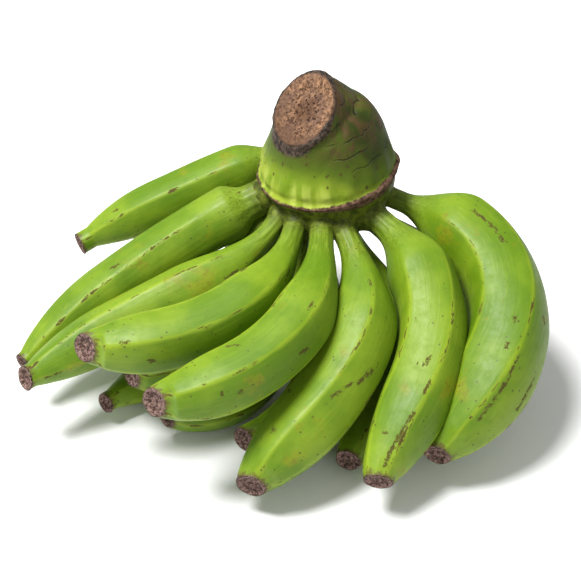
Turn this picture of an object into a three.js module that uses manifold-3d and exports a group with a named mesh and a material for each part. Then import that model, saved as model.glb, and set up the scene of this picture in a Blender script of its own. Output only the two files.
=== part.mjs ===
// A hand of green plantains, cut from its bunch with a short length of the stalk.
// Two rows of fingers leave the crown round the front of the stalk. Each finger is one fruit on
// its own stem, and all of them bend the way they grew, up towards the light.
// Millimetres, +Z up. The hand lies as picked, on the undersides of its lower fingers.

import * as THREE from "three";
import Module from "manifold-3d";
import { mergeVertices } from "three/addons/utils/BufferGeometryUtils.js";

const wasm = await Module();
wasm.setup();

// Where the stalk's axis crosses the scar ring, over the middle of the hand's footprint
const RING_CENTRE = new THREE.Vector3(32, 66.5, 124);

// The stalk and its cut lean towards this heading. Headings turn from +X (0) through the front,
// -Y (-90).
const LEAN_HEADING = -146;
const STALK_LEAN = 10;

// Sections of the crown, cushion and neck: height above the scar ring, and radius
const STALK_SECTIONS = [
  { height: -36, radius: 19 },
  { height: -34, radius: 24 },
  { height: -29, radius: 31 },
  { height: -23, radius: 37 },
  { height: -15, radius: 41 },
  { height: -6, radius: 42.5 },
  { height: -2, radius: 42.5 },
  { height: -1, radius: 44.5 },
  { height: 1.5, radius: 44.5 },
  { height: 2.5, radius: 42.5 },
  { height: 7, radius: 42.5 },
  { height: 13, radius: 40.5 },
  { height: 20, radius: 37.5 },
  { height: 27, radius: 34.5 },
  { height: 33, radius: 32 },
  { height: 38, radius: 29 },
  { height: 42, radius: 24.5 },
  { height: 44, radius: 18 },
];
// How far the neck stands to the right of the crown's own axis, and behind it
const NECK_SHIFT = [2, 2];

// The cut stub: centre of its slanting face from the ring's centre, its lean, and its sections
// as distance behind the face and radius
const CUT_CENTRE = new THREE.Vector3(-16.5, -10.5, 45.5);
const CUT_LEAN = 51;
const STUB_SECTIONS = [
  { behind: 34, radius: 25 },
  { behind: 20, radius: 25.5 },
  { behind: 8, radius: 25.5 },
  { behind: 2, radius: 25.5 },
  { behind: 0, radius: 24.3 },
];
const STALK_SIDES = 72;
// The crown bears fingers all round except about the side opposite this turn.
const BEARING_TURN = -32;
const CUSHION_FLUTES = 18;
const FLUTE_DEPTH = 0.7;

// Fingers. turn is the stem's place round the stalk in degrees, from the front towards +X, and
// drop is how far below the scar ring it leaves. heading and rise are the finger's direction at
// its stem, at each third of its length and at its tip, in degrees. girth and tip are diameters.
// belly and taper are the shares of the length where it gets full and where it starts to narrow,
// and neck is the share that stays narrow behind the tip. stem is the stem's diameter, and face
// is the heading and rise that the scar at the tip turns towards. ridge is where the first of
// its five ridges runs, in degrees from the top of the finger.
const UPPER_FINGERS = [
  {
    turn: -150, drop: 15, heading: [-188, -169, -168, -150], rise: [-16, -20, -21, -18],
    length: 156, girth: 35, tip: 15, belly: 0.24, taper: 0.6, neck: 0.06,
    stem: 13, face: [-150, -10], ridge: -40,
  },
  {
    turn: -84, drop: 15, heading: [-170, -154, -143, -130], rise: [-22, -22, -19, -16],
    length: 184, girth: 37, tip: 13, belly: 0.12, taper: 0.62, neck: 0.02,
    stem: 23, face: [-132, -6], ridge: -28,
  },
  {
    turn: -54, drop: 16, heading: [-116, -157, -152, -140], rise: [-20, -20, -14, -2],
    length: 184, girth: 36, tip: 15, belly: 0.42, taper: 0.68, neck: 0.03,
    stem: 13, face: [-138, 14], ridge: -81,
  },
  {
    turn: -34, drop: 16, heading: [-102, -129, -159, -172], rise: [-13, -11, -4, 5],
    length: 164, girth: 38, tip: 17, belly: 0.42, taper: 0.74, neck: 0,
    stem: 14, face: [-130, 20], ridge: -48,
  },
  {
    turn: -10, drop: 17, heading: [-92, -110, -144, -168], rise: [-8, -12, -10, -2],
    length: 171, girth: 39, tip: 17, belly: 0.42, taper: 0.74, neck: 0,
    stem: 15, face: [-128, 16], ridge: -38,
  },
  {
    turn: 8, drop: 20, heading: [-68, -99, -134, -126], rise: [-20, -27, -26, -18],
    length: 180, girth: 44, tip: 18, belly: 0.38, taper: 0.72, neck: 0,
    stem: 15, face: [-108, -6], ridge: -18,
  },
  {
    turn: 40, drop: 21, heading: [-44, -79, -116, -108], rise: [-14, -26, -27, -18],
    length: 182, girth: 43, tip: 17, belly: 0.26, taper: 0.68, neck: 0,
    stem: 17, face: [-100, -18], ridge: -27,
  },
  {
    turn: 87, drop: 27, heading: [-24, -59, -114, -134], rise: [-12, -14, -29, -17],
    length: 218, girth: 50, tip: 16, belly: 0.24, taper: 0.72, neck: 0,
    stem: 13, face: [-114, -8], ridge: -27,
  },
];
const LOWER_FINGERS = [
  {
    turn: -72, drop: 28, heading: [-176, -139, -130, -134], rise: [-22, -56, -6, -2],
    length: 183, girth: 33, tip: 13, belly: 0.3, taper: 0.66, neck: 0.03,
    stem: 16, face: [-132, 8], ridge: -30,
  },
  {
    turn: -62, drop: 26, heading: [-127, -122, -138, -174], rise: [-43, -34, -12, 14],
    length: 148, girth: 32, tip: 14, belly: 0.48, taper: 0.62, neck: 0,
    stem: 13, face: [-136, 14], ridge: -45,
  },
  {
    turn: -39, drop: 28, heading: [-115, -111, -133, -172], rise: [-65, -45, -8, 6],
    length: 165, girth: 32, tip: 14, belly: 0.48, taper: 0.66, neck: 0,
    stem: 13, face: [-138, 14], ridge: -14,
  },
  {
    turn: -14, drop: 28, heading: [-88, -90, -117, -162], rise: [-65, -49, -8, 6],
    length: 163, girth: 35, tip: 15, belly: 0.38, taper: 0.66, neck: 0,
    stem: 13, face: [-128, 10], ridge: -20,
  },
  {
    turn: 13, drop: 33, heading: [-16, -74, -108, -116], rise: [-54, -41, -12, 1],
    length: 171, girth: 36, tip: 15, belly: 0.32, taper: 0.66, neck: 0,
    stem: 13, face: [-110, 2], ridge: -20,
  },
  {
    turn: 55, drop: 32, heading: [2, -28, -106, -126], rise: [-30, -50, -15, 9],
    length: 178, girth: 38, tip: 15, belly: 0.3, taper: 0.66, neck: 0,
    stem: 14, face: [-126, 4], ridge: 10,
  },
];
const STEM_SHARE = 0.04;
const TAPER_POWER = 2;
const RIDGES = 5;
const RIDGE_SHARPNESS = 0.45;
const FINGER_SIDES = 15;
const FINGER_RINGS = 24;

// Each finger's stem joins a flared collar on the crown, across a hairline joint.
const COLLAR_REACH = 5;
const COLLAR_DEPTH = 15;
const COLLAR_FLARE = 6;
const COLLAR_SIDES = 15;
const JOINT_GAP = 0.3;

const GREEN_PEEL = 0x83b53a;
const GREEN_STALK = 0x6f9a2c;

const radians = THREE.MathUtils.degToRad;
const smooth = THREE.MathUtils.smoothstep;
const mix = THREE.MathUtils.lerp;

// A unit vector from a heading in the XY plane and a rise above it, both in degrees
function direction(heading, rise) {
  const flat = Math.cos(radians(rise));
  return new THREE.Vector3(
    flat * Math.cos(radians(heading)),
    flat * Math.sin(radians(heading)),
    Math.sin(radians(rise)),
  );
}

// The value at t of the smooth curve through the values at the stem, at each third and at the tip
function through([stem, third, twoThirds, tip], t) {
  const u = 3 * t;
  return (
    (stem * (1 - u) * (2 - u) * (3 - u)) / 6 +
    (third * u * (2 - u) * (3 - u)) / 2 +
    (twoThirds * u * (u - 1) * (3 - u)) / 2 +
    (tip * u * (u - 1) * (u - 2)) / 6
  );
}

// A closed skin over rings of points, with a fan on the first ring and on the last
function skin(rings) {
  const sides = rings[0].length;
  const centre = (ring) =>
    ring.reduce((sum, p) => sum.add(p), new THREE.Vector3()).divideScalar(sides);
  const points = [...rings.flat(), centre(rings[0]), centre(rings.at(-1))];
  const start = points.length - 2;
  const end = points.length - 1;
  const faces = [];
  for (let i = 0; i < sides; i += 1) {
    const j = (i + 1) % sides;
    faces.push(start, j, i);
    for (let k = 0; k < rings.length - 1; k += 1) {
      const a = k * sides;
      const b = a + sides;
      faces.push(a + i, a + j, b + j, a + i, b + j, b + i);
    }
    const last = (rings.length - 1) * sides;
    faces.push(end, last + i, last + j);
  }
  const geometry = new THREE.BufferGeometry().setFromPoints(points);
  geometry.setIndex(faces);
  return geometry;
}

// A ring of points round a centre, square to the way given. Angles are counted from its top.
function ringAt(centre, way, sides, radiusAt, start = 0) {
  const side = way.clone().cross(new THREE.Vector3(0, 0, 1)).normalize();
  const over = side.clone().cross(way);
  return Array.from({ length: sides }, (_, i) => {
    const angle = start + (i * 2 * Math.PI) / sides;
    return centre
      .clone()
      .addScaledVector(over, radiusAt(angle) * Math.cos(angle))
      .addScaledVector(side, radiusAt(angle) * Math.sin(angle));
  });
}

function solidFrom(geometry) {
  const bare = geometry.clone();
  bare.deleteAttribute("normal");
  bare.deleteAttribute("uv");
  const merged = mergeVertices(bare, 1e-4);
  return new wasm.Manifold(
    new wasm.Mesh({
      numProp: 3,
      vertProperties: new Float32Array(merged.attributes.position.array),
      triVerts: new Uint32Array(merged.index.array),
    }),
  );
}

function geometryFrom(solid) {
  const mesh = solid.getMesh();
  const geometry = new THREE.BufferGeometry();
  geometry.setAttribute("position", new THREE.BufferAttribute(mesh.vertProperties, 3));
  geometry.setIndex(new THREE.BufferAttribute(mesh.triVerts, 1));
  geometry.computeVertexNormals();
  return geometry;
}

// The crown's radius at a height above the scar ring
function stalkRadius(height) {
  const next = STALK_SECTIONS.findIndex((section) => section.height >= height);
  if (next <= 0) return STALK_SECTIONS.at(next).radius;
  const [low, high] = [STALK_SECTIONS[next - 1], STALK_SECTIONS[next]];
  return mix(low.radius, high.radius, (height - low.height) / (high.height - low.height));
}

// Axes across a leaning section: to the right, and to the back
function across(axis) {
  const right = new THREE.Vector3(1, 0, 0).addScaledVector(axis, -axis.x).normalize();
  return { right, back: axis.clone().cross(right) };
}

// A point on the stalk's surface. The crown stands out only on the side that bears fingers.
function stalkPoint(height, turn) {
  const axis = direction(LEAN_HEADING, 90 - STALK_LEAN);
  const { right, back } = across(axis);
  const shift = smooth(height, 5, 32);
  const bearing = smooth(Math.cos(radians(turn - BEARING_TURN)), -0.95, -0.5);
  const bare = mix(0.76, 1, smooth(height, 4, 24));
  const cushion = smooth(height, 3, 8) * (1 - smooth(height, 12, 22));
  const flute = FLUTE_DEPTH * cushion * bearing * Math.cos(radians(turn * CUSHION_FLUTES));
  const out = stalkRadius(height) * mix(bare, 1, bearing) + flute;
  return RING_CENTRE.clone()
    .addScaledVector(axis, height)
    .addScaledVector(right, shift * NECK_SHIFT[0] + out * Math.sin(radians(turn)))
    .addScaledVector(back, shift * NECK_SHIFT[1] - out * Math.cos(radians(turn)));
}

// The crown, scar ring, cushion and neck, with nothing beyond the slanting cut
function stalkBody() {
  const rings = STALK_SECTIONS.map(({ height }) =>
    Array.from({ length: STALK_SIDES }, (_, i) => stalkPoint(height, (i * 360) / STALK_SIDES)),
  );
  const axis = direction(LEAN_HEADING, 90 - CUT_LEAN);
  const beyond = new THREE.BoxGeometry(150, 150, 60);
  beyond.applyQuaternion(
    new THREE.Quaternion().setFromUnitVectors(new THREE.Vector3(0, 0, 1), axis),
  );
  const middle = RING_CENTRE.clone().add(CUT_CENTRE).addScaledVector(axis, 30);
  beyond.translate(middle.x, middle.y, middle.z);
  return solidFrom(skin(rings)).subtract(solidFrom(beyond));
}

// The stub above the neck, up to its slanting cut
function stubBody() {
  const axis = direction(LEAN_HEADING, 90 - CUT_LEAN);
  const rings = STUB_SECTIONS.map(({ behind, radius }) => {
    const centre = RING_CENTRE.clone().add(CUT_CENTRE).addScaledVector(axis, -behind);
    return ringAt(centre, axis, STALK_SIDES, () => radius);
  });
  return solidFrom(skin(rings));
}

// Where a finger's stem leaves the crown's collar
function stemFoot(finger) {
  const way = direction(finger.heading[0], finger.rise[0]);
  return stalkPoint(-finger.drop, finger.turn).addScaledVector(way, COLLAR_REACH);
}

// The flared collar that carries a finger. It starts well inside the crown, square to it, and
// turns to the finger's own direction at the joint.
function collar(finger) {
  const way = direction(finger.heading[0], finger.rise[0]);
  const joint = stemFoot(finger).addScaledVector(way, -JOINT_GAP);
  const core = stalkPoint(-finger.drop, finger.turn + 180).lerp(joint, 0.5);
  const outward = joint.clone().sub(core).normalize();
  const sections = [
    { sunk: COLLAR_DEPTH, flare: COLLAR_FLARE, turned: 0 },
    { sunk: COLLAR_REACH, flare: COLLAR_FLARE * 0.4, turned: 0.6 },
    { sunk: 2, flare: 0.5, turned: 0.9 },
    { sunk: 0, flare: 0, turned: 1 },
  ];
  const rings = sections.map(({ sunk, flare, turned }) => {
    const facing = outward.clone().lerp(way, turned).normalize();
    const centre = joint.clone().addScaledVector(facing, -sunk);
    return ringAt(centre, facing, COLLAR_SIDES, () => finger.stem / 2 + flare);
  });
  return solidFrom(skin(rings));
}

// The finger's radius at a share t of its length
function fingerRadius({ girth, tip, belly, taper, neck, stem }, t) {
  const full = mix(stem / 2, girth / 2, smooth(t, STEM_SHARE, belly));
  const narrowed = THREE.MathUtils.clamp((t - taper) / (1 - neck - taper), 0, 1);
  return mix(full, tip / 2, narrowed ** TAPER_POWER);
}

// Five flat sides that meet in rounded ridges, as a share of the radius
function ridgeShare(angle, t) {
  const side = (2 * Math.PI) / RIDGES;
  const fromMiddle = (((angle % side) + side) % side) - side / 2;
  const flat = Math.cos(side / 2) / Math.cos(fromMiddle);
  const sharp = RIDGE_SHARPNESS * smooth(t, 0.06, 0.3) * (1 - 0.6 * smooth(t, 0.85, 1));
  return 1 - sharp * (1 - flat);
}

// A finger's body. grown makes it thicker all round, to press a neighbour clear of it.
function fingerBody(finger, grown = 0) {
  const centre = stemFoot(finger);
  const wayAt = (t) => direction(through(finger.heading, t), through(finger.rise, t));
  const face = direction(...finger.face);
  const start = radians(finger.ridge);
  const rings = [];
  for (let k = 0; k < FINGER_RINGS; k += 1) {
    const t = k / (FINGER_RINGS - 1);
    const facing = wayAt(t).lerp(face, smooth(t, 0.92, 1)).normalize();
    const radiusAt = (angle) => fingerRadius(finger, t) * ridgeShare(angle - start, t) + grown;
    rings.push(ringAt(centre, facing, FINGER_SIDES, radiusAt, start));
    const halfway = t + 0.5 / (FINGER_RINGS - 1);
    centre.addScaledVector(wayAt(halfway), finger.length / (FINGER_RINGS - 1));
  }
  return solidFrom(skin(rings));
}

function mesh(name, solid, color) {
  const material = new THREE.MeshStandardMaterial({ color, roughness: 0.5, metalness: 0 });
  const made = new THREE.Mesh(geometryFrom(solid), material);
  made.name = name;
  return made;
}

const hand = new THREE.Group();
hand.name = "plantain_hand";

const rows = { upper: UPPER_FINGERS, lower: LOWER_FINGERS };
const fingers = Object.entries(rows).flatMap(([row, members]) =>
  members.map((finger, i) => ({ ...finger, name: `${row}_finger_${i + 1}` })),
);

let crown = stalkBody().add(stubBody());
for (const finger of fingers) crown = crown.add(collar(finger));
hand.add(mesh("stalk", crown, GREEN_STALK));

// Where two fingers press together, the later one is flattened against the one before it. The
// lowest fingers are flattened where they lie on the surface.
const surface = new THREE.BoxGeometry(500, 500, 100).translate(0, 0, -50);
const pressed = [crown, solidFrom(surface)];
for (const finger of fingers) {
  const shaped = pressed.reduce((body, other) => body.subtract(other), fingerBody(finger));
  pressed.push(fingerBody(finger, JOINT_GAP));
  hand.add(mesh(finger.name, shaped, GREEN_PEEL));
}

export default hand;
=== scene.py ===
# A hand of green plantains, cut from its bunch, lying on a white studio floor.

import math

import bpy
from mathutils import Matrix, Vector, noise
from mathutils.bvhtree import BVHTree


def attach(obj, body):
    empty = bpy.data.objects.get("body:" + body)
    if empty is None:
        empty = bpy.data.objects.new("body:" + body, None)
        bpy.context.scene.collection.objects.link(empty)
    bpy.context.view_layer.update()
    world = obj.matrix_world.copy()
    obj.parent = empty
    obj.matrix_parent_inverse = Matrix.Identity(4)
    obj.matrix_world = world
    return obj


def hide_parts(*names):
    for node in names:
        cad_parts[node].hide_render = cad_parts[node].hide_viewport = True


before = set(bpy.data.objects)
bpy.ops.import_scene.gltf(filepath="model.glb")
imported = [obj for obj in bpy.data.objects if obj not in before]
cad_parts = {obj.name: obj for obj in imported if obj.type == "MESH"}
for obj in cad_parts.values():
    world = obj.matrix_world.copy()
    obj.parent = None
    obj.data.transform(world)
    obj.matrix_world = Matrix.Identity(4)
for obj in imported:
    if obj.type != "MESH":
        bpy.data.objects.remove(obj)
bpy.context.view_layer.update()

# The stalk: the thick end of the bunch's stem. It has the crown that the fingers grow from, the
# scar ring of the leaf that covered them, the swollen cushion above and a slanting knife cut. It
# grew as one fibrous green piece, softly rounded all over, and its cut has dried to brown cork.

# Lengths are in metres and angles in degrees, where a comment doesn't say otherwise.
RING_CENTRE = Vector((0.032, 0.0665, 0.124))
LEAN_HEADING = -146
STALK_LEAN = 10
# Height above the scar ring, and radius
STALK_SECTIONS = [
    (-0.036, 0.019), (-0.034, 0.024), (-0.029, 0.031), (-0.023, 0.037), (-0.015, 0.041),
    (-0.006, 0.0425), (-0.002, 0.0425), (-0.001, 0.0445), (0.0015, 0.0445), (0.0025, 0.0425),
    (0.007, 0.0425), (0.013, 0.0405), (0.020, 0.0375), (0.027, 0.0345), (0.033, 0.032),
    (0.038, 0.029), (0.042, 0.0245), (0.044, 0.018),
]
# The neck stands a little to one side, from the first of these heights to the second.
NECK_SHIFT = (0.002, 0.002)
NECK_SHIFTS_OVER = (0.005, 0.032)
# The side without fingers, away from this turn, is drawn in to a share of the radius. That fades
# out between these heights.
BEARING_TURN = -32
BEARING_EDGE = (-0.95, -0.5)
BARE_SHARE = 0.76
BARE_FADES_OVER = (0.004, 0.024)
FLUTES = 18
FLUTE_DEPTH = 0.0007
FLUTES_RISE_OVER = (0.003, 0.008)
FLUTES_FADE_OVER = (0.012, 0.022)

CUT_CENTRE = Vector((-0.0165, -0.0105, 0.0455))
CUT_LEAN = 51
CUT_RADIUS = 0.0255
# How far behind the cut's face, and radius
STUB_SECTIONS = [(0.034, 0.025), (0.02, CUT_RADIUS), (0.008, CUT_RADIUS), (0.002, CUT_RADIUS), (0, 0.0248)]
# The turn, in radians, that the cut is flatter towards
CUT_FLAT_TURN = -0.75

# Where each finger leaves the crown: its turn round the stalk from the front, its drop below the
# scar ring and its stem's width, both in millimetres, and the stem's way as a heading and a rise
FINGER_ROOTS = {
    "upper": [
        dict(turn=-150, drop=15, stem=13, way=(-188, -16)),
        dict(turn=-84, drop=15, stem=23, way=(-170, -22)),
        dict(turn=-54, drop=16, stem=13, way=(-116, -20)),
        dict(turn=-34, drop=16, stem=14, way=(-102, -13)),
        dict(turn=-10, drop=17, stem=15, way=(-92, -8)),
        dict(turn=8, drop=20, stem=15, way=(-68, -20)),
        dict(turn=40, drop=21, stem=17, way=(-44, -14)),
        dict(turn=87, drop=27, stem=13, way=(-24, -12)),
    ],
    "lower": [
        dict(turn=-72, drop=28, stem=16, way=(-176, -22)),
        dict(turn=-62, drop=26, stem=13, way=(-127, -43)),
        dict(turn=-39, drop=28, stem=13, way=(-115, -65)),
        dict(turn=-14, drop=28, stem=13, way=(-88, -65)),
        dict(turn=13, drop=33, stem=13, way=(-16, -54)),
        dict(turn=55, drop=32, stem=14, way=(2, -30)),
    ],
}
COLLAR_REACH = 0.005
COLLAR_SIDES = 32
# The flared collar under a stem: how far back from its end, how much wider than the stem, and how
# far it has turned from square to the crown to the stem's own way
COLLAR_SECTIONS = [
    (0.017, 0.0085, 0.0), (0.012, 0.006, 0.25), (0.007, 0.0033, 0.5),
    (0.003, 0.0014, 0.8), (0.0, 0.0004, 1.0), (-0.003, -0.0009, 1.0),
]
STALK_SIDES = 144
STALK_STEPS = 90
# How finely the stalk's parts are grown together, and how often that is softened
GRAFT_SIZE = 0.0008
SOFTENINGS = 14

# As the cut dried, its middle and its surface sank, and it grew rough and pitted.
CUT_DISH = 0.0022
CUT_SHRINKAGE = 0.0007
CUT_ROUGHNESS = 0.0006
CUT_PITS = 0.0011
CUT_DEPTH = 0.004
CUT_EDGE = CUT_RADIUS + 0.006
# The skin folded as it dried, this far back from the cut.
FOLD_HEIGHT = 0.0007
FOLDS_REACH = 0.014
# The scar ring is thin on the left and thick on the right, and lies between these heights.
RING_THICKNESS = (0.0014, 0.0038)
RING_HEIGHT = 0.0009
RING_RAGGEDNESS = 0.0006
RING_BAND = (-0.010, 0.008)
# Above it the stalk is lumpy.
LUMPS_FROM = 0.004
LUMP_HEIGHT = 0.0006


def direction(heading, rise):
    """A unit vector from a heading in the XY plane and a rise above it."""
    h, r = math.radians(heading), math.radians(rise)
    return Vector((math.cos(r) * math.cos(h), math.cos(r) * math.sin(h), math.sin(r)))


def smooth(x, low, high):
    """0 below low, 1 above high, and a soft step between them."""
    t = min(max((x - low) / (high - low), 0.0), 1.0)
    return t * t * (3 - 2 * t)


def mix(a, b, share):
    return a + (b - a) * share


def metres(millimetres):
    return millimetres / 1000


STALK_AXIS = direction(LEAN_HEADING, 90 - STALK_LEAN)
STALK_RIGHT = (Vector((1, 0, 0)) - STALK_AXIS * STALK_AXIS.x).normalized()
STALK_BACK = STALK_AXIS.cross(STALK_RIGHT)
CUT_AXIS = direction(LEAN_HEADING, 90 - CUT_LEAN)


def stalk_radius(height):
    """The stalk's radius at a height above the scar ring."""
    for (low, thin), (high, thick) in zip(STALK_SECTIONS, STALK_SECTIONS[1:]):
        if height <= high:
            return mix(thin, thick, (height - low) / (high - low))
    return STALK_SECTIONS[-1][1]


def stalk_point(height, turn):
    """A point on the stalk. It stands out only on the side that bears fingers."""
    angle = math.radians(turn)
    shift = smooth(height, *NECK_SHIFTS_OVER)
    bearing = smooth(math.cos(angle - math.radians(BEARING_TURN)), *BEARING_EDGE)
    bare = mix(BARE_SHARE, 1, smooth(height, *BARE_FADES_OVER))
    on_cushion = smooth(height, *FLUTES_RISE_OVER) * (1 - smooth(height, *FLUTES_FADE_OVER))
    flute = FLUTE_DEPTH * on_cushion * bearing * math.cos(angle * FLUTES)
    out = stalk_radius(height) * mix(bare, 1, bearing) + flute
    return (
        RING_CENTRE
        + STALK_AXIS * height
        + STALK_RIGHT * (shift * NECK_SHIFT[0] + out * math.sin(angle))
        + STALK_BACK * (shift * NECK_SHIFT[1] - out * math.cos(angle))
    )


def stem_foot(root):
    """Where a finger's stem leaves its collar."""
    on_crown = stalk_point(-metres(root["drop"]), root["turn"])
    return on_crown + direction(*root["way"]) * COLLAR_REACH


def ring_at(centre, way, sides, radius_at):
    """A ring of points round a centre, square to the way given, counted from its top."""
    side = way.cross(Vector((0, 0, 1))).normalized()
    over = side.cross(way)
    ring = []
    for i in range(sides):
        angle = i * 2 * math.pi / sides
        out = radius_at(angle)
        ring.append(centre + over * (out * math.cos(angle)) + side * (out * math.sin(angle)))
    return ring


def skin(name, rings):
    """A closed piece over rings of points, with a fan at each end."""
    sides = len(rings[0])
    points = [p for ring in rings for p in ring]
    for ring in (rings[0], rings[-1]):
        points.append(sum(ring, Vector()) / sides)
    start, end = len(points) - 2, len(points) - 1
    faces = []
    for i in range(sides):
        j = (i + 1) % sides
        faces.append((start, j, i))
        for k in range(len(rings) - 1):
            a, b = k * sides, (k + 1) * sides
            faces.append((a + i, a + j, b + j, b + i))
        last = (len(rings) - 1) * sides
        faces.append((end, last + i, last + j))
    mesh = bpy.data.meshes.new(name)
    mesh.from_pydata([tuple(p) for p in points], [], faces)
    mesh.update()
    made = bpy.data.objects.new(name, mesh)
    bpy.context.collection.objects.link(made)
    return made


def stalk_body():
    """The crown, the cushion and the neck, with nothing beyond the cut."""
    bottom, top = STALK_SECTIONS[0][0], STALK_SECTIONS[-1][0]
    rings = []
    for k in range(STALK_STEPS + 1):
        height = mix(bottom, top, k / STALK_STEPS)
        ring = []
        for i in range(STALK_SIDES):
            point = stalk_point(height, i * 360 / STALK_SIDES)
            beyond = (point - RING_CENTRE - CUT_CENTRE).dot(CUT_AXIS)
            ring.append(point - CUT_AXIS * max(beyond, 0))
        rings.append(ring)
    return skin("stalk_body", rings)


def cut_outline(angle):
    """The cut isn't quite round: it is flatter towards its upper left."""
    return 1 - 0.09 * smooth(math.cos(angle - CUT_FLAT_TURN), 0.55, 1) + 0.015 * math.cos(3 * angle)


def stub():
    """The slanting stub above the neck, up to its cut."""
    rings = []
    for behind, radius in STUB_SECTIONS:
        centre = RING_CENTRE + CUT_CENTRE - CUT_AXIS * behind
        rings.append(ring_at(centre, CUT_AXIS, STALK_SIDES, lambda angle: radius * cut_outline(angle)))
    return skin("stub", rings)


def collar(root):
    """The collar that carries a finger. It starts well inside the crown, square to it."""
    way = direction(*root["way"])
    foot = stem_foot(root)
    core = stalk_point(-metres(root["drop"]), root["turn"] + 180).lerp(foot, 0.5)
    outward = (foot - core).normalized()
    rings = []
    for sunk, flare, turned in COLLAR_SECTIONS:
        facing = outward.lerp(way, turned).normalized()
        radius = metres(root["stem"]) / 2 + flare
        rings.append(ring_at(foot - facing * sunk, facing, COLLAR_SIDES, lambda angle: radius))
    return skin("collar", rings)


def fused(name, parts):
    """The parts grown together into one softly rounded piece."""
    bpy.ops.object.select_all(action="DESELECT")
    for part in parts:
        part.select_set(True)
    bpy.context.view_layer.objects.active = parts[0]
    bpy.ops.object.join()
    made = bpy.context.view_layer.objects.active
    made.name = name
    remesh = made.modifiers.new("fuse", "REMESH")
    remesh.mode = "VOXEL"
    remesh.voxel_size = GRAFT_SIZE
    soften = made.modifiers.new("soften", "SMOOTH")
    soften.factor = 0.5
    soften.iterations = SOFTENINGS
    bpy.ops.object.modifier_apply(modifier="fuse")
    bpy.ops.object.modifier_apply(modifier="soften")
    made.data.polygons.foreach_set("use_smooth", [True] * len(made.data.polygons))
    return made


def cut_sink(co, behind, pith):
    """How far the cut has dried in: its middle sinks, its rim stands proud, and it is pitted."""
    near = 1 - smooth(behind, 0.0008, 0.003)
    dish = CUT_DISH * (1 - smooth(pith, 0.010, 0.0235))
    rough = CUT_ROUGHNESS * noise.fractal(co * 260, 1.0, 2.2, 4)
    pits = CUT_PITS * max(noise.noise(co * 700), 0) * (1 - smooth(pith, 0.018, 0.024))
    return near * (dish + CUT_SHRINKAGE + rough + pits)


def skin_fold(angle, behind):
    """How far the skin below the rim stands out or in, where it shrank as it dried."""
    return FOLD_HEIGHT * noise.fractal(Vector((angle * 2.0, behind * 150, 0.3)), 1.0, 2.0, 3)


def scar_ridge(angle, height):
    """How far the scar ring stands out: a rough ridge, thick on the right and thin on the left."""
    thick = mix(*RING_THICKNESS, smooth(math.sin(angle), -0.5, 0.8))
    place = Vector((math.sin(angle) * 6, math.cos(angle) * 6, height * 300))
    ragged = noise.fractal(place, 1.0, 2.0, 3)
    ridge = 1 - smooth(abs(height + thick * 0.4), thick * 0.75, thick * 1.25)
    return ridge * (RING_HEIGHT + RING_RAGGEDNESS * ragged)


def tell(mesh, name, values):
    """Keeps one number or one vector a vertex under a name, for the finish to read."""
    if len(values) == len(mesh.vertices):
        mesh.attributes.new(name, "FLOAT", "POINT").data.foreach_set("value", values)
    else:
        mesh.attributes.new(name, "FLOAT_VECTOR", "POINT").data.foreach_set("vector", values)


def weather(mesh):
    """Dries the cut, folds the skin, raises the scar ring, and tells the finish where each is."""
    heights, behinds, piths, turns = [], [], [], []
    for vertex in mesh.vertices:
        co = vertex.co.copy()
        from_ring = co - RING_CENTRE
        height = from_ring.dot(STALK_AXIS)
        angle = math.atan2(from_ring.dot(STALK_RIGHT), -from_ring.dot(STALK_BACK))
        behind = -(from_ring - CUT_CENTRE).dot(CUT_AXIS)
        across = from_ring - CUT_CENTRE + CUT_AXIS * behind
        if behind < CUT_DEPTH and across.length < CUT_EDGE:
            co -= CUT_AXIS * cut_sink(co, behind, across.length)
        elif behind < FOLDS_REACH:
            co += across.normalized() * skin_fold(angle, behind)
        outward = (co - RING_CENTRE - STALK_AXIS * height).normalized()
        if RING_BAND[0] < height < RING_BAND[1]:
            co += outward * scar_ridge(angle, height)
        if height > LUMPS_FROM:
            co += outward * (LUMP_HEIGHT * noise.noise(co * 60))
        vertex.co = co
        heights.append(height)
        behinds.append(behind)
        piths.append(across.length)
        turns += [math.sin(angle), -math.cos(angle), height]
    tell(mesh, "above_ring", heights)
    tell(mesh, "behind_cut", behinds)
    tell(mesh, "from_pith", piths)
    tell(mesh, "around", turns)
    mesh.update()


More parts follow.
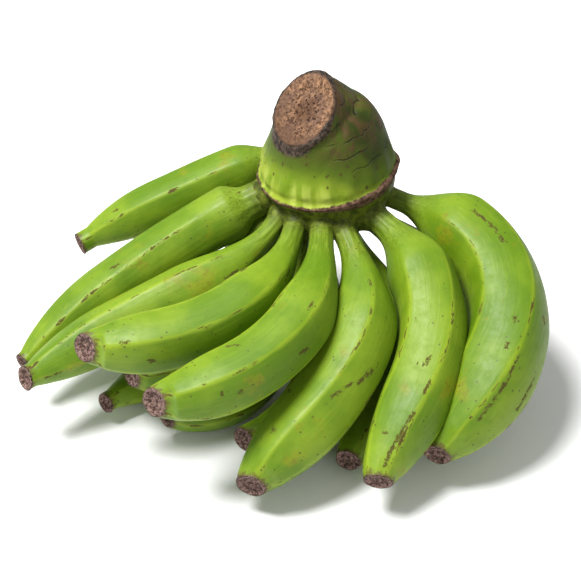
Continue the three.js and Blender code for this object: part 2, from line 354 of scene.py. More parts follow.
class Finish:
    """A surface painted in layers, one over the other, on one shader."""

    def __init__(self, name, roughness, specular):
        self.material = bpy.data.materials.new(name)
        self.material.use_nodes = True
        self.tree = self.material.node_tree
        self.shader = self.tree.nodes["Principled BSDF"]
        self.shader.inputs["Roughness"].default_value = roughness
        self.shader.inputs["Specular IOR Level"].default_value = specular
        self.colour = None

    def node(self, kind, **settings):
        made = self.tree.nodes.new(kind)
        for key, value in settings.items():
            setattr(made, key, value)
        return made

    def wire(self, source, target):
        self.tree.links.new(source, target)

    def fill(self, socket, value):
        """Wires another node's output into a socket, or sets a plain value on it."""
        if hasattr(value, "default_value"):
            self.wire(value, socket)
        else:
            socket.default_value = value

    def told(self, name, output="Fac"):
        """What tell() kept on the mesh under a name."""
        return self.node("ShaderNodeAttribute", attribute_name=name).outputs[output]

    def sides_of(self, vector):
        """The three numbers of a vector."""
        made = self.node("ShaderNodeSeparateXYZ")
        self.wire(vector, made.inputs[0])
        return made.outputs

    def reckon(self, operation, a, b=0.0):
        made = self.node("ShaderNodeMath", operation=operation)
        self.fill(made.inputs[0], a)
        self.fill(made.inputs[1], b)
        return made.outputs[0]

    def plus(self, a, b):
        return self.reckon("ADD", a, b)

    def minus(self, a, b):
        return self.reckon("SUBTRACT", a, b)

    def times(self, a, b):
        return self.reckon("MULTIPLY", a, b)

    def larger(self, a, b):
        return self.reckon("MAXIMUM", a, b)

    def distance(self, a):
        return self.reckon("ABSOLUTE", a)

    def swing(self, grain, amount):
        """A grain that swings about zero, by half the amount either way."""
        return self.times(self.minus(grain, 0.5), amount)

    def stretched(self, place, scale):
        made = self.node("ShaderNodeMapping")
        made.inputs["Scale"].default_value = scale
        self.wire(place, made.inputs["Vector"])
        return made.outputs[0]

    def grain(self, place, scale, detail=4.0, rough=0.55):
        """Cloudy grain, so many to the metre, from 0 to 1."""
        made = self.node("ShaderNodeTexNoise")
        made.inputs["Scale"].default_value = scale
        made.inputs["Detail"].default_value = detail
        made.inputs["Roughness"].default_value = rough
        self.wire(place, made.inputs["Vector"])
        return made.outputs["Fac"]

    def dots(self, place, scale):
        """Scattered dots, so many to the metre: the distance to the nearest, and its place."""
        made = self.node("ShaderNodeTexVoronoi", feature="F1")
        made.inputs["Scale"].default_value = scale
        self.wire(place, made.inputs["Vector"])
        return made.outputs["Distance"], made.outputs["Position"]

    def step(self, value, low, high, start=0.0, end=1.0):
        """A soft step from start, below low, to end, above high."""
        made = self.node("ShaderNodeMapRange", interpolation_type="SMOOTHSTEP")
        self.wire(value, made.inputs["Value"])
        for socket, number in zip(("From Min", "From Max", "To Min", "To Max"), (low, high, start, end)):
            made.inputs[socket].default_value = number
        return made.outputs[0]

    def blend(self, share, under, over):
        made = self.node("ShaderNodeMix", data_type="RGBA")
        self.wire(share, made.inputs["Factor"])
        self.fill(made.inputs[6], under)
        self.fill(made.inputs[7], over)
        return made.outputs[2]

    def shades(self, value, low, high, colours):
        """The first colour where the value is low, and the second where it is high."""
        return self.blend(self.step(value, low, high), *colours)

    def cover(self, share, colour):
        """Lays a colour over what is painted so far."""
        self.colour = self.blend(share, self.colour, colour)

    def relief(self, height, distance, under=None):
        made = self.node("ShaderNodeBump")
        made.inputs["Distance"].default_value = distance
        self.wire(height, made.inputs["Height"])
        if under is not None:
            self.wire(under, made.inputs["Normal"])
        return made.outputs[0]

    def finish(self, roughness, normal):
        self.wire(self.colour, self.shader.inputs["Base Color"])
        self.wire(roughness, self.shader.inputs["Roughness"])
        self.wire(normal, self.shader.inputs["Normal"])


def srgb(red, green, blue):
    """A colour given in 0 to 255, as linear numbers of light."""
    shares = [c / 255 for c in (red, green, blue)]
    return tuple(((s + 0.055) / 1.055) ** 2.4 if s > 0.04 else s / 12.92 for s in shares) + (1,)


# Each pair is the darker and the paler shade of one place.
CUSHION_GREENS = srgb(104, 130, 20), srgb(138, 154, 42)
# The neck's dark greens are painted shade: the olive neck as it looks in shade under the cut's rim.
NECK_SHADE_GREENS = srgb(40, 50, 6), srgb(66, 80, 12)
# The crown's greens darkened as painted shade, for close under the ring.
SHADED_CROWN_GREENS = srgb(50, 60, 10), srgb(100, 112, 28)
LOW_CROWN_GREENS = srgb(68, 84, 16), srgb(102, 116, 36)
RING_BROWNS = srgb(54, 36, 24), srgb(108, 82, 66)
RIM_BROWNS = srgb(32, 24, 18), srgb(74, 60, 50)
CUT_TANS = srgb(74, 48, 32), srgb(170, 130, 98)
OLIVE = srgb(76, 96, 12)
FLUTE_PALE = srgb(176, 188, 84)
DRIED_BROWN = srgb(78, 54, 34)
CREASE_BROWN = srgb(34, 28, 10)
STALK_SPECK = srgb(64, 46, 22)
WORN_GREY = srgb(104, 80, 68)
HOLE_BROWN = srgb(46, 28, 18)
LOW_CUT_BROWN = srgb(78, 52, 34)
HEART_BROWN = srgb(84, 56, 36)
FOLD_SPACING = 0.0082


def stalk_finish():
    """Olive and yellow-green skin, with painted shade on the neck under the cut and on the crown under the
    ring, dry brown at the ring and the rim, and cork on the cut.
    """
    rind = Finish("stalk_skin", 0.5, 0.2)
    place = rind.node("ShaderNodeTexCoord").outputs["Object"]
    height = rind.told("above_ring")
    behind = rind.told("behind_cut")
    pith = rind.told("from_pith")
    around = rind.told("around", "Vector")
    sideways, _, up = rind.sides_of(around)
    right = rind.step(sideways, -0.1, 0.5)

    # The neck is olive, and towards the cut it is painted darker as shade under the cut's rim. That
    # painted shade comes down further on the right, the side away from the light, than on the left.
    patches = rind.grain(place, 45, 4)
    wavy = rind.plus(height, rind.swing(patches, 0.012))
    shaded = rind.plus(wavy, rind.step(sideways, -0.2, 1.0, -0.004, 0.013))
    cushion = rind.shades(patches, 0.35, 0.65, CUSHION_GREENS)
    neck = rind.shades(patches, 0.35, 0.7, NECK_SHADE_GREENS)
    olive = rind.blend(rind.step(shaded, 0.007, 0.020), cushion, OLIVE)
    rind.colour = rind.blend(rind.step(shaded, 0.014, 0.032), olive, neck)

    # Pale flutes run round the foot of the cushion.
    flutes = rind.step(rind.grain(rind.stretched(around, (1.6, 1.6, 4)), 4.2, 1), 0.46, 0.66)
    rind.cover(rind.times(flutes, rind.step(shaded, 0.005, 0.013, 0.55, 0)), FLUTE_PALE)

    # The crown is darker close under the ring than at its foot: painted shade under the ring's overhang,
    # laid over the crown's own mottled greens.
    crown = rind.shades(rind.grain(place, 140, 6, 0.7), 0.38, 0.66, SHADED_CROWN_GREENS)
    rind.cover(rind.step(wavy, -0.0045, -0.0015, 1, 0), crown)
    low_crown = rind.shades(rind.grain(place, 220, 4), 0.4, 0.6, LOW_CROWN_GREENS)
    rind.cover(rind.step(wavy, -0.022, -0.012, 0.9, 0), low_crown)

    # The ring is a dry brown ridge, wider on the right and ragged at its edges.
    thick = rind.step(sideways, -0.5, 0.8, 0.0018, 0.0044)
    from_ring = rind.distance(rind.plus(height, rind.times(thick, 0.4)))
    ragged = rind.swing(rind.grain(place, 160, 5, 0.7), 0.003)
    ring_on = rind.step(rind.minus(rind.plus(from_ring, ragged), thick), -0.0003, 0.0005, 1, 0)
    rind.cover(ring_on, rind.shades(rind.grain(place, 320, 5, 0.7), 0.38, 0.62, RING_BROWNS))

    # Streaks of dry brown lie below the cut.
    streaks = rind.grain(rind.stretched(around, (3, 3, 60)), 1.0, 6, 0.65)
    dried = rind.times(rind.step(streaks, 0.40, 0.6), rind.step(height, 0.020, 0.032))
    dried = rind.times(dried, rind.plus(rind.times(right, 0.7), 0.3))
    rind.cover(rind.times(dried, 0.85), DRIED_BROWN)

    # Thin folds run round the right of the neck, where it shrank.
    sway = rind.swing(rind.grain(rind.stretched(around, (2, 2, 30)), 1.0, 3), 0.010)
    swayed = rind.plus(rind.plus(height, sway), 0.1)
    from_fold = rind.distance(rind.minus(rind.reckon("MODULO", swayed, FOLD_SPACING), FOLD_SPACING / 2))
    deep = rind.step(rind.grain(rind.stretched(around, (2.5, 2.5, 90)), 1.0, 2), 0.44, 0.54)
    creased = rind.times(rind.step(from_fold, 0.00015, 0.0006, 1, 0), rind.step(shaded, 0.022, 0.032))
    creased = rind.times(rind.times(creased, deep), right)
    rind.cover(rind.times(creased, 0.75), CREASE_BROWN)

    # Dark specks of uneven size lie all over.
    from_speck, speck_place = rind.dots(rind.stretched(place, (1, 1, 0.7)), 230)
    kept = rind.reckon("GREATER_THAN", rind.grain(speck_place, 60, 0), 0.48)
    uneven = rind.times(rind.grain(place, 75, 2), 0.42)
    speck_on = rind.times(rind.step(rind.minus(from_speck, uneven), -0.10, 0.02, 1, 0), kept)
    rind.cover(rind.times(speck_on, 0.75), STALK_SPECK)

    # The rim of the cut is nearly black.
    rim_wave = rind.swing(rind.grain(place, 110, 4), 0.004)
    rim = rind.step(rind.plus(behind, rim_wave), 0.003, 0.0052, 1, 0)
    rim_colour = rind.shades(rind.grain(place, 420, 5), 0.4, 0.6, RIM_BROWNS)
    rind.cover(rind.times(rim, rind.step(pith, 0.0275, 0.031, 1, 0)), rim_colour)

    # The face is tan cork, greyer where it is worn, with dark holes and a darker foot and heart.
    cork = rind.grain(place, 380, 8, 0.75)
    face = rind.shades(cork, 0.36, 0.62, CUT_TANS)
    worn = rind.grain(place, 70, 5, 0.6)
    face = rind.blend(rind.step(worn, 0.42, 0.6, 0, 0.65), face, WORN_GREY)
    from_hole, _ = rind.dots(place, 430)
    hole_on = rind.times(rind.step(from_hole, 0.18, 0.36, 1, 0), rind.step(pith, 0.006, 0.021, 0.95, 0.25))
    face = rind.blend(hole_on, face, HOLE_BROWN)
    face = rind.blend(rind.step(up, 0.030, 0.052, 0.55, 0), face, LOW_CUT_BROWN)
    from_heart = rind.plus(pith, rind.times(rind.grain(place, 150, 4), 0.01))
    face = rind.blend(rind.step(from_heart, 0.009, 0.017, 0.6, 0), face, HEART_BROWN)
    on_face = rind.times(rind.step(behind, 0.003, 0.0042, 1, 0), rind.step(pith, 0.0215, 0.0235, 1, 0))
    rind.cover(on_face, face)

    roughness = rind.plus(rind.times(rind.larger(on_face, ring_on), 0.3), 0.58)
    folds = rind.relief(rind.minus(streaks, creased), 0.0008)
    pitted = rind.relief(rind.times(rind.minus(cork, hole_on), on_face), 0.002, folds)
    rind.finish(roughness, pitted)
    return rind.material


stalk_parts = [stalk_body(), stub()]
for roots in FINGER_ROOTS.values():
    stalk_parts += [collar(root) for root in roots]
stalk = fused("plantain_stalk", stalk_parts)
weather(stalk.data)
stalk.data.materials.clear()
stalk.data.materials.append(stalk_finish())
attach(stalk, "root")
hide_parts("stalk")


# The fingers: fourteen unripe fruits in two rows, each a thick-skinned berry with five soft ridges.
# Each grew from the crown on its own stem, bends upwards, and ends in the corky scar of its flower.
# They are dented where they press together and where they lie on the floor.

# bends are the heading and rise at one third, at two thirds and at the tip, after the root's way.
# length is along the middle, and girth and tip are diameters, all in millimetres. The finger is
# full from belly to taper, and a short neck before the tip keeps the tip's width, in shares of the
# length. face is the way that the scar turns, and ridge is where the first of the five ridges
# runs, counted from the top of the finger.
FINGER_SHAPES = {
    "upper": [
        dict(bends=((-169, -20), (-168, -21), (-150, -18)), length=156, girth=35, tip=15,
             belly=0.24, taper=0.6, neck=0.06, face=(-150, -10), ridge=-40),
        dict(bends=((-154, -22), (-143, -19), (-130, -16)), length=184, girth=37, tip=13,
             belly=0.12, taper=0.62, neck=0.02, face=(-132, -6), ridge=-28),
        dict(bends=((-157, -20), (-152, -14), (-140, -2)), length=184, girth=36, tip=15,
             belly=0.42, taper=0.68, neck=0.03, face=(-138, 14), ridge=-81),
        dict(bends=((-129, -11), (-159, -4), (-172, 5)), length=164, girth=38, tip=17,
             belly=0.42, taper=0.74, neck=0, face=(-130, 20), ridge=-48),
        dict(bends=((-110, -12), (-144, -10), (-168, -2)), length=171, girth=39, tip=17,
             belly=0.42, taper=0.74, neck=0, face=(-128, 16), ridge=-38),
        dict(bends=((-99, -27), (-134, -26), (-126, -18)), length=180, girth=44, tip=18,
             belly=0.38, taper=0.72, neck=0, face=(-108, -6), ridge=-18),
        dict(bends=((-79, -26), (-116, -27), (-108, -18)), length=182, girth=43, tip=17,
             belly=0.26, taper=0.68, neck=0, face=(-100, -18), ridge=-27),
        dict(bends=((-59, -14), (-114, -29), (-134, -17)), length=218, girth=50, tip=16,
             belly=0.24, taper=0.72, neck=0, face=(-114, -8), ridge=-27),
    ],
    "lower": [
        dict(bends=((-139, -56), (-130, -6), (-134, -2)), length=183, girth=33, tip=13,
             belly=0.3, taper=0.66, neck=0.03, face=(-132, 8), ridge=-30),
        dict(bends=((-122, -34), (-138, -12), (-174, 14)), length=148, girth=32, tip=14,
             belly=0.48, taper=0.62, neck=0, face=(-136, 14), ridge=-45),
        dict(bends=((-111, -45), (-133, -8), (-172, 6)), length=165, girth=32, tip=14,
             belly=0.48, taper=0.66, neck=0, face=(-138, 14), ridge=-14),
        dict(bends=((-90, -49), (-117, -8), (-162, 6)), length=163, girth=35, tip=15,
             belly=0.38, taper=0.66, neck=0, face=(-128, 10), ridge=-20),
        dict(bends=((-74, -41), (-108, -12), (-116, 1)), length=171, girth=36, tip=15,
             belly=0.32, taper=0.66, neck=0, face=(-110, 2), ridge=-20),
        dict(bends=((-28, -50), (-106, -15), (-126, 9)), length=178, girth=38, tip=15,
             belly=0.3, taper=0.66, neck=0, face=(-126, 4), ridge=10),
    ],
}
# The stem keeps its width over this share of the length.
STEM_SHARE = 0.04
RIDGES = 5
RIDGE_SHARPNESS = 0.5
RIDGE_ROUNDING = 4
FINGER_SIDES = 90
FINGER_RINGS = 150
TIP_CROWDING = 1.15
# The tip turns to its face over these shares of the length.
FACE_TURNS_OVER = (0.92, 1)
# The stem starts this far inside its collar, at this share of its radius.
STEM_SUNK = 0.0035
STEM_SUNK_SHARE = 0.86
# Fibres run along the stem, and the finger swells, thins and is lumpy, in shares of its radius.
STEM_FIBRES = 11
FIBRE_HEIGHT = 0.02
SWELLING = 0.012
LUMPINESS = 0.018
# The scar at the end of a finger: step beyond the end, and share of the end's radius
SCAR_SECTIONS = [
    (0.0004, 1.03), (0.0009, 1.0), (0.0012, 0.93), (0.0009, 0.83), (0.0002, 0.72),
    (-0.0004, 0.62), (-0.0008, 0.5), (-0.0012, 0.38), (-0.0015, 0.26), (-0.0013, 0.13),
]
SCAR_SUNK = 0.0012
SCAR_RAGGEDNESS = 0.05
SCAR_SWELL = 0.0002
SCAR_PITS = 0.0007
# Brown marks where the peel was rubbed: both ends of the stroke, as a share of the length and a
# turn from the finger's top, and the stroke's half width
MARKS = {
    "upper_finger_1": [((0.78, -16), (0.80, -12), 0.0016)],
    "upper_finger_2": [
        ((0.054, -8), (0.058, -8), 0.0013), ((0.54, -12), (0.57, -9), 0.0016),
    ],
    "upper_finger_3": [
        ((0.23, -73), (0.27, -70), 0.0015), ((0.90, -84), (0.95, -84), 0.0013),
    ],
    "upper_finger_4": [
        ((0.85, -44), (0.87, -43), 0.0017), ((0.22, -64), (0.26, -65), 0.0018),
        ((0.78, -88), (0.79, -84), 0.0017),
    ],
    "upper_finger_5": [
        ((0.80, -64), (0.80, -63), 0.0014), ((0.75, -72), (0.75, -71), 0.0014),
        ((0.51, -80), (0.54, -76), 0.0017), ((0.40, -28), (0.43, -30), 0.0014),
        ((0.71, 22), (0.68, 12), 0.0015),
    ],
    "upper_finger_6": [
        ((0.50, -63), (0.56, -53), 0.0020), ((0.61, -38), (0.64, -30), 0.0016),
        ((0.57, -44), (0.59, -40), 0.0017), ((0.83, 8), (0.835, 8), 0.0021),
        ((0.23, -12), (0.25, -13), 0.0016), ((0.69, 50), (0.70, 38), 0.0014),
    ],
    "upper_finger_7": [
        ((0.78, -24), (0.97, -12), 0.0015), ((0.66, -24), (0.71, -24), 0.0014),
        ((0.44, -28), (0.47, -28), 0.0013), ((0.87, 14), (0.87, 5), 0.0014),
        ((0.59, -8), (0.62, -6), 0.0019),
    ],
    "upper_finger_8": [
        ((0.25, 6), (0.38, 0), 0.0018), ((0.57, -56), (0.58, -62), 0.0018),
        ((0.60, -8), (0.61, -10), 0.0018), ((0.67, -12), (0.68, -12), 0.0018),
        ((0.69, -32), (0.87, -40), 0.0016), ((0.71, -80), (0.79, -84), 0.0017),
    ],
}
# Each finger's grain starts this far on from the one before, so that no two are alike.
PEEL_APART = 0.9
# The middle of an end counts as this far from a ridge.
OFF_RIDGE_AT_ENDS = 0.005
# A finger is pressed where a neighbour's skin is this near, and it is left this far outside it.
PRESS_REACH = 0.012
PRESS_GAP = 0.0001


def through(values, t):
    """The smooth curve through the values at the stem, at each third and at the tip."""
    stem, third, two_thirds, tip = values
    u = 3 * t
    return (
        stem * (1 - u) * (2 - u) * (3 - u) / 6
        + third * u * (2 - u) * (3 - u) / 2
        + two_thirds * u * (u - 1) * (3 - u) / 2
        + tip * u * (u - 1) * (u - 2) / 6
    )


def finger_way(finger, t):
    headings, rises = zip(finger["way"], *finger["bends"])
    return direction(through(headings, t), through(rises, t))


def finger_radius(finger, t):
    """The plain finger's radius at a share t of its length."""
    stem, girth, tip = (metres(finger[width]) / 2 for width in ("stem", "girth", "tip"))
    full = mix(stem, girth, smooth(t, STEM_SHARE, finger["belly"]))
    taper = finger["taper"]
    narrowed = min(max((t - taper) / (1 - finger["neck"] - taper), 0), 1)
    return mix(full, tip, narrowed ** 2)


def five_sides(angle):
    """The radius of a five-sided section with rounded ridges, as a share."""
    side = 2 * math.pi / RIDGES
    total = 0
    for step in (-1, -0.5, 0, 0.5, 1):
        from_middle = (angle + math.radians(step * RIDGE_ROUNDING)) % side - side / 2
        total += math.cos(side / 2) / math.cos(from_middle)
    return total / 5


# The section's radius at every half degree
SIDE_SHARES = [five_sides(math.radians(i / 2)) for i in range(720)]


def ridge_share(finger, angle, t):
    """The section's radius there, as a share. The ridges are sharpest in the finger's middle."""
    turned = int(round(math.degrees(angle) * 2 - finger["ridge"] * 2)) % 720
    sharp = RIDGE_SHARPNESS * smooth(t, 0.05, 0.28) * (1 - 0.55 * smooth(t, 0.88, 1))
    return 1 - sharp * (1 - SIDE_SHARES[turned])


def peel_radius(finger, seed, t, angle):
    """The finger's radius with its ridges, its lumps and the fibres of its stem."""
    swell = SWELLING * noise.noise(Vector((t * 3.1, seed * 7.7, 0.5)))
    round_it = Vector((t * 5, math.cos(angle) * 0.8 + seed, math.sin(angle) * 0.8))
    lump = LUMPINESS * noise.noise(round_it)
    fibres = FIBRE_HEIGHT * (1 - smooth(t, 0.03, 0.16)) * math.cos(angle * STEM_FIBRES)
    return finger_radius(finger, t) * ridge_share(finger, angle, t) * (1 + swell + lump + fibres)


def scar_radius(finger, seed, share, angle):
    round_it = Vector((math.cos(angle) * 2.2, math.sin(angle) * 2.2, seed))
    ragged = SCAR_RAGGEDNESS * noise.noise(round_it)
    return metres(finger["tip"]) / 2 * share * ridge_share(finger, angle, 1) * (1 + ragged)


def ring_share(k):
    """How far along the finger a ring lies. Rings crowd together towards the tip."""
    return 1 - (1 - min(k / (FINGER_RINGS - 1), 1)) ** TIP_CROWDING


def finger_rings(finger, seed):
    """A finger's rings from its stem to its scar. For each, the length so far and the step to the
    end: below zero before the scar, and from 0 at its edge to 1 at its middle."""
    length = metres(finger["length"])
    way = finger_way(finger, 0)
    face = direction(*finger["face"])
    centre = stem_foot(finger)
    sunk_radius = metres(finger["stem"]) / 2 * STEM_SUNK_SHARE
    rings = [ring_at(centre - way * STEM_SUNK, way, FINGER_SIDES, lambda angle: sunk_radius)]
    places = [(0.0, -length)]
    for k in range(FINGER_RINGS):
        t, after = ring_share(k), ring_share(k + 1)
        facing = finger_way(finger, t).lerp(face, smooth(t, *FACE_TURNS_OVER)).normalized()
        rings.append(ring_at(centre, facing, FINGER_SIDES, lambda a: peel_radius(finger, seed, t, a)))
        places.append((t * length, -(1 - t) * length))
        centre = centre + finger_way(finger, (t + after) / 2) * ((after - t) * length)
    for beyond, share in SCAR_SECTIONS:
        middle = centre + face * (beyond - SCAR_SUNK)
        rings.append(ring_at(middle, face, FINGER_SIDES, lambda a: scar_radius(finger, seed, share, a)))
        places.append((length + beyond, 1 - share + 0.03))
    return rings, places


def mark_share(marks, along, angle, out, length):
    """How much of a mark is at a point of the straightened finger: 1 on it, 0 two widths off."""
    share = 0
    for start, end, width in marks:
        off = (math.degrees(angle) - start[1] + 180) % 360 - 180
        at = Vector((along - start[0] * length, math.radians(off) * out))
        stroke = Vector(((end[0] - start[0]) * length, math.radians(end[1] - start[1]) * out))
        nearest = stroke * min(max(at.dot(stroke) / stroke.length_squared, 0), 1)
        share = max(share, 1 - (at - nearest).length / (2 * width))
    return share


def tell_peel(mesh, finger, seed, marks, rings, places):
    """Tells the finish each point's place on the straightened finger, its distance to the end and
    to the nearest ridge, and how much of a mark is on it."""
    length = metres(finger["length"])
    side = 2 * math.pi / RIDGES
    at, ends, offs, rubs = [], [], [], []
    for ring, (along, to_end) in zip(rings, places):
        middle = sum(ring, Vector()) / len(ring)
        for i, point in enumerate(ring):
            angle = i * 2 * math.pi / FINGER_SIDES
            out = (point - middle).length
            at += [along + seed * PEEL_APART, out * math.cos(angle), out * math.sin(angle)]
            ends.append(to_end)
            offs.append(((angle - math.radians(finger["ridge"]) + side / 2) % side - side / 2) * out)
            rubs.append(mark_share(marks, along, angle, out, length))
    for along, to_end in (places[0], (places[-1][0], 1.0)):
        at += [along + seed * PEEL_APART, 0, 0]
        ends.append(to_end)
        offs.append(OFF_RIDGE_AT_ENDS)
        rubs.append(0)
    tell(mesh, "peel_at", at)
    tell(mesh, "to_end", ends)
    tell(mesh, "off_ridge", offs)
    tell(mesh, "rubbed", rubs)


def pit_scar(mesh, finger, seed):
    """Sinks small pits into the scar, inside its rim."""
    face = direction(*finger["face"])
    ring_count = len(mesh.vertices) // FINGER_SIDES
    for k in range(ring_count - len(SCAR_SECTIONS) + 2, ring_count):
        for vertex in mesh.vertices[k * FINGER_SIDES:(k + 1) * FINGER_SIDES]:
            pit = max(noise.noise(vertex.co * 900 + Vector((seed, 0, 0))), 0)
            vertex.co = vertex.co - face * (SCAR_PITS * pit - SCAR_SWELL)


def finger_piece(name, finger, seed, marks):
    """One finger, from just inside its collar to the middle of its scar."""
    rings, places = finger_rings(finger, seed)
    made = skin(name, rings)
    tell_peel(made.data, finger, seed, marks, rings, places)
    pit_scar(made.data, finger, seed)
    made.data.polygons.foreach_set("use_smooth", [True] * len(made.data.polygons))
    return made


def press(made, neighbours):
    """Flattens a finger where it presses against its neighbours or lies on the floor."""
    for vertex in made.data.vertices:
        co = vertex.co.copy()
        for tree, low, high in neighbours:
            if not all(low[i] <= co[i] <= high[i] for i in range(3)):
                continue
            place, normal, _, _ = tree.find_nearest(co, PRESS_REACH)
            if place is not None and (co - place).dot(normal) < PRESS_GAP:
                co = place + normal * PRESS_GAP
        co.z = max(co.z, 0.0)
        vertex.co = co
    made.data.update()


def surface_of(made):
    """The finger's surface for its neighbours to press against, with its box."""
    mesh = made.data
    points = [v.co.copy() for v in mesh.vertices]
    tree = BVHTree.FromPolygons(points, [tuple(p.vertices) for p in mesh.polygons])
    low = [min(p[i] for p in points) for i in range(3)]
    high = [max(p[i] for p in points) for i in range(3)]
    return tree, low, high


PEEL_GREENS = srgb(84, 116, 8), srgb(112, 138, 24)
STEM_GREENS = srgb(88, 110, 20), srgb(122, 142, 44)
STEM_FOOT_GREENS = srgb(70, 86, 16), srgb(106, 120, 38)
SCAR_MAUVES = srgb(76, 52, 44), srgb(158, 130, 120)
STREAK_GREEN = srgb(138, 164, 50)
MOTTLE_GREEN = srgb(70, 104, 8)
RIDGE_GREEN = srgb(148, 166, 40)
STAIN_YELLOW = srgb(132, 132, 14)
SMUDGE_BROWN = srgb(104, 94, 22)
PEEL_SPECK = srgb(66, 70, 22)
SCUFF_BROWN = srgb(66, 42, 20)
EDGE_BROWN = srgb(84, 70, 34)
SCAR_PIT = srgb(44, 28, 24)
SCAR_GROOVE = srgb(62, 42, 34)
SCAR_HEART = srgb(42, 27, 20)


def peel_finish():
    """Satin green peel, paler on its ridges, with specks, stains, brown scuffs and a cork scar."""
    peel = Finish("green_peel", 0.5, 0.27)
    at = peel.told("peel_at", "Vector")
    to_end = peel.told("to_end")
    off_ridge = peel.distance(peel.told("off_ridge"))
    along, _, _ = peel.sides_of(at)
    from_stem = peel.reckon("MODULO", along, PEEL_APART)
    past_stem = peel.step(from_stem, 0.03, 0.06)

    # Green in two shades, with faint lengthwise streaks and a darker mottle
    peel.colour = peel.shades(peel.grain(at, 22, 3), 0.35, 0.65, PEEL_GREENS)
    streaks = peel.grain(peel.stretched(at, (12, 130, 130)), 3.2, 5, 0.6)
    peel.cover(peel.step(streaks, 0.42, 0.75, 0, 0.14), STREAK_GREEN)
    mottle = peel.grain(at, 170, 5, 0.65)
    peel.cover(peel.step(mottle, 0.45, 0.8, 0, 0.35), MOTTLE_GREEN)

    # Pale yellow-green along the ridges
    ridge_near = peel.plus(off_ridge, peel.swing(peel.grain(at, 60, 3), 0.004))
    peel.cover(peel.times(peel.step(ridge_near, 0.0002, 0.0022, 0.34, 0.0), past_stem), RIDGE_GREEN)

    # Yellow stains, with brown smudges inside them
    stain = peel.grain(at, 38, 4, 0.6)
    peel.cover(peel.step(stain, 0.60, 0.70, 0, 0.45), STAIN_YELLOW)
    smudge = peel.times(peel.step(stain, 0.60, 0.68), peel.step(peel.grain(at, 420, 4, 0.7), 0.5, 0.6))
    peel.cover(peel.times(smudge, 0.5), SMUDGE_BROWN)

    # The stem is duller, with pale lengthwise fibres, and mottled where it leaves the crown.
    fibres = peel.grain(peel.stretched(at, (14, 420, 420)), 2.0, 4)
    on_stem = peel.step(from_stem, 0.010, 0.038, 1, 0)
    peel.cover(peel.times(on_stem, 0.7), peel.shades(fibres, 0.38, 0.66, STEM_GREENS))
    stem_foot_colour = peel.shades(mottle, 0.4, 0.65, STEM_FOOT_GREENS)
    peel.cover(peel.step(from_stem, 0.001, 0.011, 0.9, 0), stem_foot_colour)

    # Dark specks, in loose clusters
    from_speck, speck_place = peel.dots(at, 230)
    clusters = peel.step(peel.grain(at, 26, 2), 0.38, 0.52)
    speck_on = peel.times(peel.step(from_speck, 0.09, 0.19, 1, 0), clusters)
    kept = peel.reckon("GREATER_THAN", peel.grain(speck_place, 90, 0), 0.5)
    peel.cover(peel.times(peel.times(speck_on, kept), 0.85), PEEL_SPECK)

    # Brown scuffs, mostly along the ridges, where fingers rub against each other
    dash = peel.grain(peel.stretched(at, (45, 150, 150)), 1.5, 5, 0.7)
    scuff = peel.times(peel.step(dash, 0.54, 0.6), peel.step(ridge_near, 0.0004, 0.0012, 1, 0))
    rub = peel.grain(peel.stretched(at, (60, 110, 110)), 1.4, 6, 0.72)
    scuff = peel.times(peel.larger(scuff, peel.step(rub, 0.68, 0.71)), past_stem)
    torn = peel.swing(peel.grain(peel.stretched(at, (0.7, 1, 1)), 560, 6, 0.75), 2.8)
    marked = peel.step(peel.plus(peel.told("rubbed"), torn), 0.58, 0.90, 0, 0.95)
    scuff = peel.larger(scuff, marked)
    peel.cover(peel.times(scuff, 0.88), SCUFF_BROWN)

    # Brown creeps up from the scar, which is cork with dark pits, a groove and a dark middle.
    edge = peel.grain(peel.stretched(at, (30, 200, 200)), 1.6, 5, 0.65)
    peel.cover(peel.step(peel.plus(to_end, peel.swing(edge, 0.014)), -0.0032, -0.0008, 0, 0.8), EDGE_BROWN)
    cork = peel.grain(at, 900, 6, 0.7)
    pits = peel.grain(at, 480, 5, 0.75)
    scar = peel.shades(cork, 0.38, 0.62, SCAR_MAUVES)
    scar = peel.blend(peel.step(pits, 0.52, 0.6), scar, SCAR_PIT)
    inward = peel.plus(to_end, peel.swing(pits, 0.9))
    groove = peel.step(peel.distance(peel.minus(inward, 0.46)), 0.02, 0.12, 0.75, 0)
    scar = peel.blend(groove, scar, SCAR_GROOVE)
    scar = peel.blend(peel.step(inward, 0.82, 0.98, 0, 0.9), scar, SCAR_HEART)
    on_scar = peel.step(to_end, -0.0008, 0.0)
    peel.cover(on_scar, scar)

    satin = peel.step(mottle, 0.3, 0.8, 0.44, 0.58)
    roughness = peel.plus(satin, peel.times(peel.larger(on_scar, scuff), 0.4))
    fine = peel.relief(peel.plus(streaks, peel.grain(at, 60, 4)), 0.00022)
    peel.finish(roughness, peel.relief(peel.times(cork, on_scar), 0.0012, fine))
    peel.shader.inputs["Subsurface Weight"].default_value = 0.08
    peel.shader.inputs["Subsurface Radius"].default_value = (0.3, 1.0, 0.1)
    peel.shader.inputs["Subsurface Scale"].default_value = 0.004
    return peel.material


green_peel = peel_finish()
# Each finger has a seed of its own, counted up, for its lumps, pits and grain.
seed = 0
neighbours = []
for row, shapes in FINGER_SHAPES.items():
    for number, (root, shape) in enumerate(zip(FINGER_ROOTS[row], shapes), 1):
        seed += 1
        name = f"{row}_finger_{number}"
        made = finger_piece(f"{row}_plantain_{number}", {**root, **shape}, seed, MARKS.get(name, []))
        press(made, neighbours)
        neighbours.append(surface_of(made))
        made.data.materials.append(green_peel)
        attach(made, "root")
        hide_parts(name)


# The floor: a plain white studio floor, painted matt. The hand lies on it as it was put down, on
# the undersides of its lower fingers.

FLOOR_REACH = 6
FLOOR_WHITE = (0.88, 0.88, 0.88, 1)

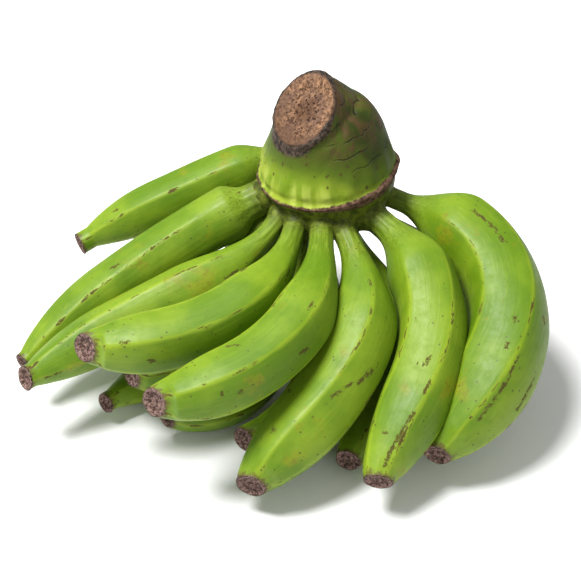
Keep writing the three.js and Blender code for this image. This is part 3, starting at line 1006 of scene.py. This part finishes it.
corners = [(x * FLOOR_REACH, y * FLOOR_REACH, 0) for x, y in ((-1, -1), (1, -1), (1, 1), (-1, 1))]
floor_mesh = bpy.data.meshes.new("studio_floor")
floor_mesh.from_pydata(corners, [], [(0, 1, 2, 3)])
floor = bpy.data.objects.new("studio_floor", floor_mesh)
bpy.context.collection.objects.link(floor)
floor_paint = Finish("studio_white", 0.9, 0.1)
floor_paint.shader.inputs["Base Color"].default_value = FLOOR_WHITE
floor_mesh.materials.append(floor_paint.material)


# The light: soft daylight from a big panel above and to the left, a weaker panel in front, and
# white walls all round.

WALL_WHITE = (1, 1, 1, 1)
WALL_STRENGTH = 0.40
PANEL_AIM = Vector((0, 0, 0.08))

world = bpy.data.worlds.new("studio")
bpy.context.scene.world = world
world.use_nodes = True
walls = world.node_tree.nodes["Background"]
walls.inputs["Color"].default_value = WALL_WHITE
walls.inputs["Strength"].default_value = WALL_STRENGTH


def panel(name, place, size, watts):
    """A soft round light panel that faces the hand."""
    light = bpy.data.lights.new(name, "AREA")
    light.shape = "DISK"
    light.size = size
    light.energy = watts
    made = bpy.data.objects.new(name, light)
    made.location = place
    made.rotation_euler = (PANEL_AIM - Vector(place)).to_track_quat("-Z", "Y").to_euler()
    bpy.context.collection.objects.link(made)


panel("key_panel", (-0.62, -0.1, 1.6), 0.65, 53)
panel("fill_panel", (0.6, -1.3, 0.9), 1.2, 4)


# The camera: it stands in front of the hand, a little to the left of the stalk, and looks down
# on it through a long lens.

LENS = 68.84
SENSOR = 36
NEAREST = 0.01
LOOK_DOWN = 38
EYE_FROM_RING = Vector((-0.0236, -0.6003, 0.36865))

camera = bpy.data.cameras.new("camera")
camera.lens = LENS
camera.sensor_width = SENSOR
camera.clip_start = NEAREST
eye = bpy.data.objects.new("camera", camera)
eye.location = RING_CENTRE + EYE_FROM_RING
eye.rotation_euler = (math.radians(90 - LOOK_DOWN), 0, 0)
bpy.context.collection.objects.link(eye)
bpy.context.scene.camera = eye
bpy.context.scene.view_settings.view_transform = "Standard"
